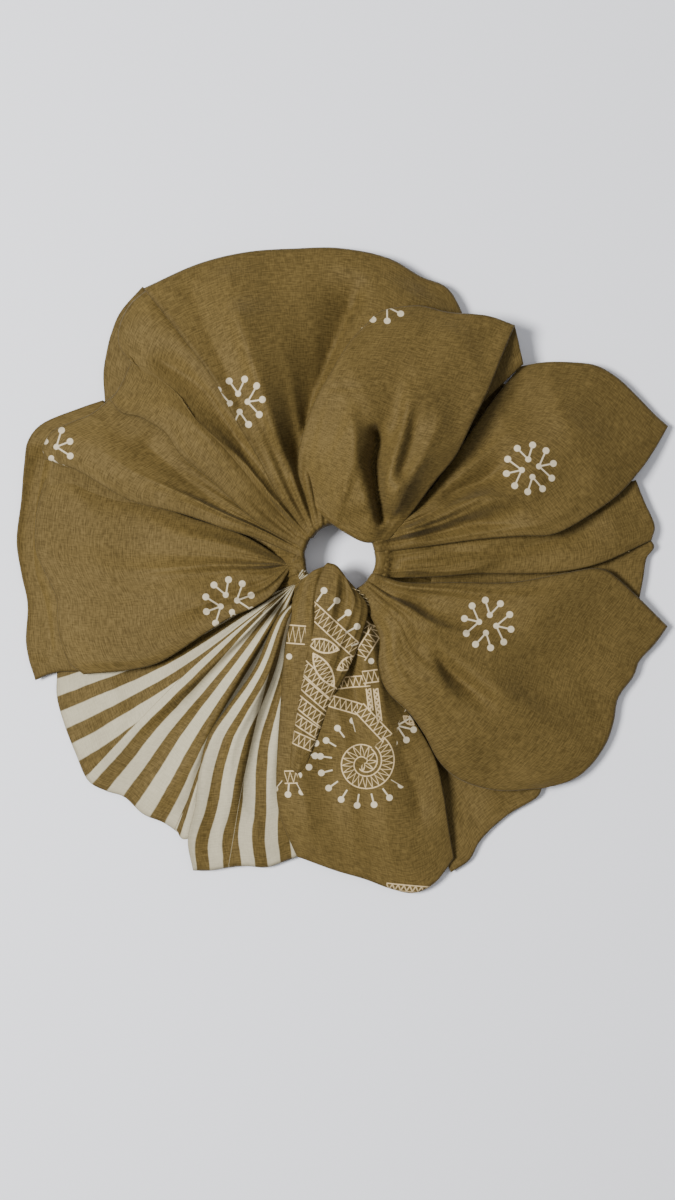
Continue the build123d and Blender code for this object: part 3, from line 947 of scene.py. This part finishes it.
bodyAngle = {"fold_%02d" % (i + 1): 125 - 30 * i for i in range(12)}
bodyAngle["tucked_end"] = bodyAngle["fold_07"]
links = [("fold_01", "fold_02"), ("fold_02", "fold_03"), ("fold_03", "fold_04"), ("fold_04", "fold_05"),
         ("fold_05", "fold_06"), ("fold_06", "fold_07"), ("fold_01", "fold_12"), ("fold_12", "fold_11"),
         ("fold_11", "fold_10"), ("fold_10", "fold_09"), ("fold_09", "fold_08"),
         ("fold_08", "tucked_end")]
gathers = {
    "section": [(13.0, 3.4), (12.8, 6), (12.7, 9), (12.9, 11.6), (13.6, 12.9), (14.8, 13.2),
                (16.0, 12.5), (17.4, 10.4), (20, 7.6), (25, 4.8), (33, 2.6), (44, 1.5), (58, 1.2),
                (70, 1.1), (78, 1.0), (79.4, 0.7), (78, 0.35), (66, 0.25), (50, 0.25), (34, 0.25),
                (24, 0.35), (18, 0.6), (15, 1.2), (13.5, 2.1), (13.0, 3.4)],
    "pleats": 46,
    "pleated": 1.06,       # cloth round the ring that the pleats take up
    "rows": 110,
    "columns": 40,
}


def pleatAt(angle):
    # the gathers' height, -1 to 1, running on without a break right around the ring
    phase = gathers["pleats"] * angle + 1.7 * np.sin(3 * angle + 1) + 1.1 * np.sin(7 * angle + 2)
    return (np.sin(phase) + 0.45 * np.sin(1.5 * phase + 2 * np.sin(2 * angle))) / 1.3


def anglesBetween(a, b, count):
    # evenly from one body's direction to the next one's, the short way round
    turn = (bodyAngle[b] - bodyAngle[a] + 180) % 360 - 180
    return math.radians(bodyAngle[a]) + np.linspace(0, math.radians(turn), count)


def blendBetween(piece, a, b, radius=14.0):
    ends = [tuple(around(radius, math.radians(bodyAngle[body]), 8.0) * mm) for body in (a, b)]
    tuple(ends[0])
    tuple(ends[1])
    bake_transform(piece)


def gridMesh(name, grid, uvs):
    rows, columns = grid.shape[:2]
    at = lambda r, c: r * columns + c
    faces = [(at(r, c), at(r, c + 1), at(r + 1, c + 1), at(r + 1, c))
             for r in range(rows - 1) for c in range(columns - 1)]
    return meshFrom(name, grid.reshape(-1, 3), faces, uvs.reshape(-1, 2) * mm)


def buildGathers(number, a, b):
    rows, columns = gathers["rows"], gathers["columns"]
    section = smoothLine([(r, z, 0) for r, z in gathers["section"]], rows)[:, :2]
    angle = anglesBetween(a, b, columns)
    r, z = section[:, :1], section[:, 1:2]
    pleat = pleatAt(angle)[None, :]
    slow = np.sin(5 * angle + 0.6)[None, :] + 0.6 * np.sin(11 * angle)[None, :]
    wall = ease((15.5 - r) / 2)
    skirt = ease((r - 16) / 12)
    radius = r + 0.42 * pleat * wall + 1.6 * slow * ease((r - 45) / 25)
    height = z + ease((z - 0.9) / 1.6) * (0.42 * pleat * (1 - 0.35 * skirt) * (1 - 0.6 * wall))
    # the skirt's pressed pleats, on its lower face too
    height = height + 0.27 * (1 + pleat) * skirt
    grid = around(radius, angle[None, :], height)
    along = np.concatenate([[0], np.cumsum(np.hypot(*np.diff(section, axis=0).T))])
    uvs = np.stack(np.broadcast_arrays(angle[None, :] * 38, along[:, None]), axis=-1)
    piece = gridMesh("gathers%02d" % number, grid, uvs)
    tidyMesh(piece)
    addCloth(piece)
    # cut as a sector of a ring, with what the pleats take up
    turn = abs(angle[-1] - angle[0]) * gathers["pleated"]
    middleRadius = (section[1:, 0] + section[:-1, 0]) / 2
    area = turn * (middleRadius * np.diff(along)).sum() * mm * mm
    flat = (round(turn * section[:, 0].max() * mm, 3), round(along[-1] * mm, 3))
    piece.data.materials.append(plainCloth)
    blendBetween(piece, a, b)
    return piece


# flat braided elastic inside the casing
elastic = {"inner": 14.15, "outer": 15.05, "low": 6.6, "high": 12.6, "cords": 9, "columns": 60}


def elasticMaterial():
    mat = bpy.data.materials.new("braidedElastic")
    mat.use_nodes = True
    tree = mat.node_tree
    u, v = spreadSheet(tree, sheetCoords(tree))
    chevron = (u / 1.1) + (v * 1.5).math("SINE") * 0.35
    braidReliefAndShade = (chevron * (2 * math.pi)).math("SINE") * 0.5 + 0.5
    shade = tree.nodes["Principled BSDF"]
    # painted shade: the white braid turns grey in its grooves, where the bump is low
    colour = mixColour(tree, (0.52, 0.50, 0.46), (0.86, 0.84, 0.80), braidReliefAndShade)
    tree.links.new(colour, shade.inputs["Base Color"])
    shade.inputs["Roughness"].default_value = 0.7
    addBump(tree, shade, braidReliefAndShade, 0.5, 0.0002)
    return mat


def buildElastic(number, a, b, nodes):
    # ribbed along its length, with rounded edges
    e = elastic
    half, wide = (e["high"] - e["low"]) / 2, (e["outer"] - e["inner"]) / 2
    t = np.linspace(0, 2 * math.pi, 73)[:, None]
    squash = lambda c: np.sign(c) * np.abs(c) ** 0.45
    z = (e["low"] + e["high"]) / 2 + half * squash(np.sin(t))
    rib = 0.10 * np.cos(e["cords"] * math.pi * (z - e["low"]) / half)
    face = np.sign(np.cos(t)) * np.abs(np.cos(t)) ** 0.2
    r = (e["inner"] + e["outer"]) / 2 + (wide - 0.10) * squash(np.cos(t)) + rib * face
    angle = anglesBetween(a, b, e["columns"])[None, :]
    grid = around(r, angle, z)
    uvs = np.stack(np.broadcast_arrays(angle * 14.6, z + 0 * angle), axis=-1)
    piece = gridMesh("elastic%02d" % number, grid, uvs)
    closeEnds(piece)
    tidyMesh(piece)
    piece.data.materials.append(elasticLook)
    blendBetween(piece, a, b)
    for node in nodes:
        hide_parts(node)
    return piece


def closeEnds(piece):
    bm = bmesh.new()
    bm.from_mesh(piece.data)
    bmesh.ops.remove_doubles(bm, verts=bm.verts, dist=0.000002)
    bmesh.ops.holes_fill(bm, edges=[e for e in bm.edges if e.is_boundary], sides=0)
    bmesh.ops.triangulate(bm, faces=[f for f in bm.faces if len(f.verts) > 4])
    bm.to_mesh(piece.data)
    bm.free()


# stitches: a row of short rounded threads placed along a line by a node tree
thread = {"radius": 0.16, "pitch": 3.6, "stitch": 2.5, "seed": 5}


def threadMaterial():
    mat = bpy.data.materials.new("sewingThread")
    mat.use_nodes = True
    tree = mat.node_tree
    shade = tree.nodes["Principled BSDF"]
    coords = tree.nodes.new("ShaderNodeTexCoord")
    fuzz = noiseOf(tree, coords.outputs["Object"], 3200.0, 2.0)
    colour = mixColour(tree, (0.20, 0.15, 0.07), (0.34, 0.27, 0.14), fuzz)
    tree.links.new(colour, shade.inputs["Base Color"])
    shade.inputs["Roughness"].default_value = 0.5
    addBump(tree, shade, fuzz, 0.5, 0.00008)
    return mat


def stitchTree():
    tree = bpy.data.node_groups.new("stitchRow", "GeometryNodeTree")
    face = tree.interface
    face.new_socket("Geometry", in_out="INPUT", socket_type="NodeSocketGeometry")
    for name in ("Pitch", "Stitch", "Radius"):
        size = face.new_socket(name, in_out="INPUT", socket_type="NodeSocketFloat")
        size.default_value = thread[name.lower()] * mm
    seed = face.new_socket("Seed", in_out="INPUT", socket_type="NodeSocketInt")
    seed.default_value = thread["seed"]
    face.new_socket("Material", in_out="INPUT", socket_type="NodeSocketMaterial")
    face.new_socket("Geometry", in_out="OUTPUT", socket_type="NodeSocketGeometry")
    add, link = tree.nodes.new, tree.links.new
    given, out = add("NodeGroupInput"), add("NodeGroupOutput")
    curve = add("GeometryNodeMeshToCurve")
    link(given.outputs["Geometry"], curve.inputs[0])
    steps = add("GeometryNodeResampleCurve")
    steps.mode = "LENGTH"
    link(curve.outputs[0], steps.inputs["Curve"])
    link(given.outputs["Pitch"], steps.inputs["Length"])
    body = add("GeometryNodeMeshCylinder")
    body.inputs["Vertices"].default_value = 8
    body.inputs["Side Segments"].default_value = 4
    body.fill_type = "TRIANGLE_FAN"
    link(given.outputs["Radius"], body.inputs["Radius"])
    link(given.outputs["Stitch"], body.inputs["Depth"])
    # the thread arches in the middle and dives into the cloth at both ends
    place, apart = add("GeometryNodeInputPosition"), add("ShaderNodeSeparateXYZ")
    link(place.outputs[0], apart.inputs[0])
    share = Signal(tree, apart.outputs["Z"]) / Signal(tree, given.outputs["Stitch"])
    sink = share * share * Signal(tree, given.outputs["Radius"]) * -6.0
    offset = add("ShaderNodeCombineXYZ")
    link(sink.out, offset.inputs["X"])
    arch = add("GeometryNodeSetPosition")
    link(body.outputs["Mesh"], arch.inputs["Geometry"])
    link(offset.outputs[0], arch.inputs["Offset"])
    tangent = add("GeometryNodeInputTangent")
    aim = add("FunctionNodeAlignRotationToVector")
    aim.axis = "Z"
    link(tangent.outputs[0], aim.inputs["Vector"])
    lift = add("FunctionNodeAlignRotationToVector")
    lift.axis, lift.pivot_axis = "X", "Z"
    lift.inputs["Vector"].default_value = (0, 0, -1)
    link(aim.outputs[0], lift.inputs["Rotation"])
    wobble = add("FunctionNodeRandomValue")
    wobble.data_type = "FLOAT_VECTOR"
    wobble.inputs["Min"].default_value = (-0.06, -0.06, -0.03)
    wobble.inputs["Max"].default_value = (0.06, 0.06, 0.03)
    link(given.outputs["Seed"], wobble.inputs["Seed"])
    turn = add("FunctionNodeRotateRotation")
    link(lift.outputs[0], turn.inputs[0])
    link(wobble.outputs[0], turn.inputs[1])
    copies = add("GeometryNodeInstanceOnPoints")
    link(steps.outputs[0], copies.inputs["Points"])
    link(arch.outputs[0], copies.inputs["Instance"])
    link(turn.outputs[0], copies.inputs["Rotation"])
    real, paint = add("GeometryNodeRealizeInstances"), add("GeometryNodeSetMaterial")
    link(copies.outputs[0], real.inputs[0])
    link(real.outputs[0], paint.inputs["Geometry"])
    link(given.outputs["Material"], paint.inputs["Material"])
    link(paint.outputs[0], out.inputs[0])
    return tree


def sewRow(name, lines, body, pitch=None, stitch=None):
    # lines of stitches that ride with one body
    verts, edges = [], []
    for line in lines:
        start = len(verts)
        verts += [tuple(np.array(point) * mm) for point in line]
        edges += [(start + i, start + i + 1) for i in range(len(line) - 1)]
    mesh = bpy.data.meshes.new(name + "Line")
    mesh.from_pydata(verts, edges, [])
    guide = bpy.data.objects.new(name + "Line", mesh)
    bpy.context.scene.collection.objects.link(guide)
    sewing = guide.modifiers.new("stitches", "NODES")
    sewing.node_group = stitches
    for socket in stitches.interface.items_tree:
        if socket.in_out != "INPUT" or socket.name == "Geometry":
            continue
        value = {"Pitch": pitch, "Stitch": stitch}.get(socket.name)
        if socket.name == "Material":
            sewing[socket.identifier] = threadLook
        elif value is not None:
            sewing[socket.identifier] = value * mm
    graph = bpy.context.evaluated_depsgraph_get()
    graph.update()
    mesh = bpy.data.meshes.new_from_object(guide.evaluated_get(graph))
    mesh.name = name
    bpy.data.objects.remove(guide)
    piece = bpy.data.objects.new(name, mesh)
    bpy.context.scene.collection.objects.link(piece)
    tidyMesh(piece, 0.0000001)
    if not piece.data.materials:
        piece.data.materials.append(threadLook)
    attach(piece, body)
    return piece


# the finishes, and where each print, stripe and ornament lies, mm and degrees

plainCloth = clothMaterial("oliveCrepe")
elasticLook = elasticMaterial()
threadLook = threadMaterial()
stitches = stitchTree()

printed = {
    "petalTopBack": {"prints": [{"centre": (-32, 49), "turn": 5}]},
    "petalLeft": {"prints": [{"centre": (-94, 35), "turn": 20}]},
    "petalLeftFlat": {"prints": [{"centre": (-35.5, -14.5), "turn": 20}]},
    "petalLowerRight": {"prints": [{"centre": (47, -21), "turn": -13}]},
    "petalUpperRight": {"prints": [{"centre": (60.5, 28.5), "turn": 12}]},
    "petalTop": {"prints": [{"centre": (13.5, 82.5), "turn": 30}]},
}
striped = {
    "petalStripedLeft": {"stripes": {"pitch": 9.0, "cream": 4.8, "shift": 2.0,
                                     "creases": [((-14, -8), (-76, -64), 0, 0.17),
                                                 ((-13, -13), (-52, -84), 2.0, -0.10)]}},
    "petalStripedRight": {"stripes": {"pitch": 8.3, "cream": 4.3, "shift": 3.0,
                                      "creases": [((-14, -10), (-36, -99), 0, 0.11)]}},
    "flapStriped": {"stripes": {"pitch": 8.2, "cream": 4.4, "shift": 0.0}},
}
drawn = {
    "petalOrnament": {
        "ribbons": [((-2.5, -40.2), (9.5, -39.0), 1.7), ((-4, -45.2), (7.4, -48.6), 1.8),
                    ((6.0, -47.6), (15.2, -57.4), 1.9), ((9.0, -41.5), (9.8, -48.5), 0.7),
                    ((11.3, -41.5), (12.6, -52.0), 0.7), ((15, -106.2), (30, -107.6), 1.1),
                    ((7.2, -38), (12.2, -37.4), 1.9), ((6.2, -31.5), (11.8, -23.0), 2.0),
                    ((-17.0, -24.2), (-11.0, -24.6), 2.9), ((-17.8, -70.2), (-13.6, -70.0), 2.0)],
        "bends": [((12.5, -16.5), 7.0, 1.6, 196, 262)],
        "leaves": [((22, -52), -40, 2.2, 1.0)],
        "scrolls": [{"centre": (7.6, -65.4), "turn": 62, "first": 8.5, "fall": 5.1, "half": 2.05,
                     "laps": 1.52, "skip": 0.02}],
        "fans": [{"centre": (7.6, -65.4), "from": 116, "to": 317, "step": 22.4,
                  "root": 10.3, "tip": 14.0},
                 {"centre": (-17.5, -60.5), "from": -52, "to": 20, "step": 24, "root": 6.6, "tip": 9.9},
                 {"centre": (-16, -68), "from": -112, "to": -78, "step": 34, "root": 4.2, "tip": 7.8},
                 {"centre": (18.2, -53.5), "from": -70, "to": 40, "step": 42, "root": 0.6, "tip": 5.6}],
        "dots": [(-16.2, -31.4), (9.9, -32.8)],
    },
    "foldOrnament": {
        "ribbons": [((-10.4, -15.0), (6.5, -30.6), 2.3), ((-12.6, -33.6), (0.5, -45.6), 1.9),
                    ((-13.6, -38.4), (-1.5, -49.0), 1.8), ((-14.5, -44.8), (-4, -53.2), 1.9),
                    ((-16, -50), (-5, -57.2), 1.7), ((-17, -56.2), (-7, -60.6), 1.9)],
        "leaves": [((-5.4, -27.9), -14, 5.2, 2.1), ((-5.2, -35.6), -58, 6.2, 2.2),
                   ((2.6, -33.5), 30, 4.0, 1.8)],
        "fans": [{"centre": (-22.5, -37), "from": 16, "to": 60, "step": 9.4, "root": 27.6, "tip": 31.8}],
    },
}


def standsFor(petal):
    # a petal stands for its own fold, unless its values say otherwise
    return petal.get("stands", ["cover_" + petal["body"]])


made = {}
for name, petal in petals.items():
    made[name] = buildPetal(name, petal)
    for node in standsFor(petal):
        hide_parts(node)
    if name in printed or name in striped:
        look = clothMaterial(name + "Cloth", **printed.get(name, {}), **striped.get(name, {}))
    elif name in drawn:
        look = clothMaterial(name + "Cloth", ornament=ornamentOf(**drawn[name]))
    else:
        look = plainCloth
    made[name].data.materials.append(look)
print("petals made:", len(made))

for number, (a, b) in enumerate(links, 1):
    buildGathers(number, a, b)
print("casing made")

for number, (a, b) in enumerate(links, 1):
    nodes = ["elastic_band_" + b[-2:]] if b.startswith("fold") else ["elastic_lapped_end"]
    if number == 1:
        nodes.append("elastic_band_01")
    buildElastic(number, a, b, nodes)
print("elastic made")

for name, petal in petals.items():
    if "stands" in petal:
        continue
    number = petal["body"][-2:]
    row = sewRow("tubeSeam" + number, [petal["seam"]], petal["body"])
    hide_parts("tube_seam_stitches_" + number)

# the whipped closing seam, seen at the opening, and the zigzag through the elastic's lap
closingSeam = {"from": (4.4, -9.9, 16.3), "to": (5.6, -10.3, 15.9), "step": (1.2, -1.25, -0.35),
               "count": 5}
lapZigzag = {"from": -9, "step": 2.2, "count": 8, "radius": 15.2, "low": 7.4, "rise": 4.2}

first, last, step = (np.array(closingSeam[key]) for key in ("from", "to", "step"))
whip = [[first + step * k, last + step * k] for k in range(closingSeam["count"])]
closing = sewRow("closingSeam", whip, "fold_07", pitch=3.0, stitch=1.7)
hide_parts("closing_seam_stitches")
lap = []
for k in range(lapZigzag["count"]):
    angle = math.radians(bodyAngle["tucked_end"] + lapZigzag["from"] + lapZigzag["step"] * k)
    lap.append(tuple(around(lapZigzag["radius"], angle, lapZigzag["low"] + lapZigzag["rise"] * (k % 2))))
zigzagRow = sewRow("elasticZigzag", [lap], "tucked_end", pitch=1.5, stitch=1.4)
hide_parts("elastic_zigzag_stitches")
print("stitches made")


# the camera looks straight down; its picture is this wide on the cloth, all in metres
stage = {
    "eye": (-0.0008, -0.0134, 0.62),
    "frameWide": 0.216,
    "focusHigh": 0.012,
    "window": {"place": (-0.58, 0.02, 0.90), "size": 0.34, "power": 19.6, "aim": (0.05, 0, 0)},
    "fill": {"place": (0.3, 0.3, 1.5), "size": 1.5, "power": 6.6, "aim": (0, 0, 0)},
    "sky": ((0.9, 0.93, 1, 1), 0.25),
    "floor": (0.90, 0.905, 0.95, 1),
}


def camera():
    lens = bpy.data.cameras.new("cameraAbove")
    lens.sensor_fit = "HORIZONTAL"
    lens.sensor_width = 36
    lens.lens = 36 * (stage["eye"][2] - stage["focusHigh"]) / stage["frameWide"]
    lens.clip_start, lens.clip_end = 0.01, 20
    eye = bpy.data.objects.new("cameraAbove", lens)
    eye.location = stage["eye"]
    bpy.context.scene.collection.objects.link(eye)
    bpy.context.scene.camera = eye


def light(name, place, size, power, aim):
    lamp = bpy.data.lights.new(name, "AREA")
    lamp.shape = "DISK"
    lamp.size = size
    lamp.energy = power
    piece = bpy.data.objects.new(name, lamp)
    piece.location = place
    piece.rotation_euler = (Vector(place) - Vector(aim)).to_track_quat("Z", "Y").to_euler()
    bpy.context.scene.collection.objects.link(piece)


def floor():
    bpy.ops.mesh.primitive_plane_add(size=6)
    piece = bpy.context.object
    piece.name = "paleFloor"
    mat = bpy.data.materials.new("paleFloor")
    mat.use_nodes = True
    shade = mat.node_tree.nodes["Principled BSDF"]
    shade.inputs["Base Color"].default_value = stage["floor"]
    shade.inputs["Roughness"].default_value = 0.9
    piece.data.materials.append(mat)


camera()
light("windowSoft", **stage["window"])
light("fillSoft", **stage["fill"])
world = bpy.data.worlds.new("studio")
world.use_nodes = True
sky = world.node_tree.nodes["Background"]
sky.inputs[0].default_value, sky.inputs[1].default_value = stage["sky"]
bpy.context.scene.world = world
floor()
print("stage set")
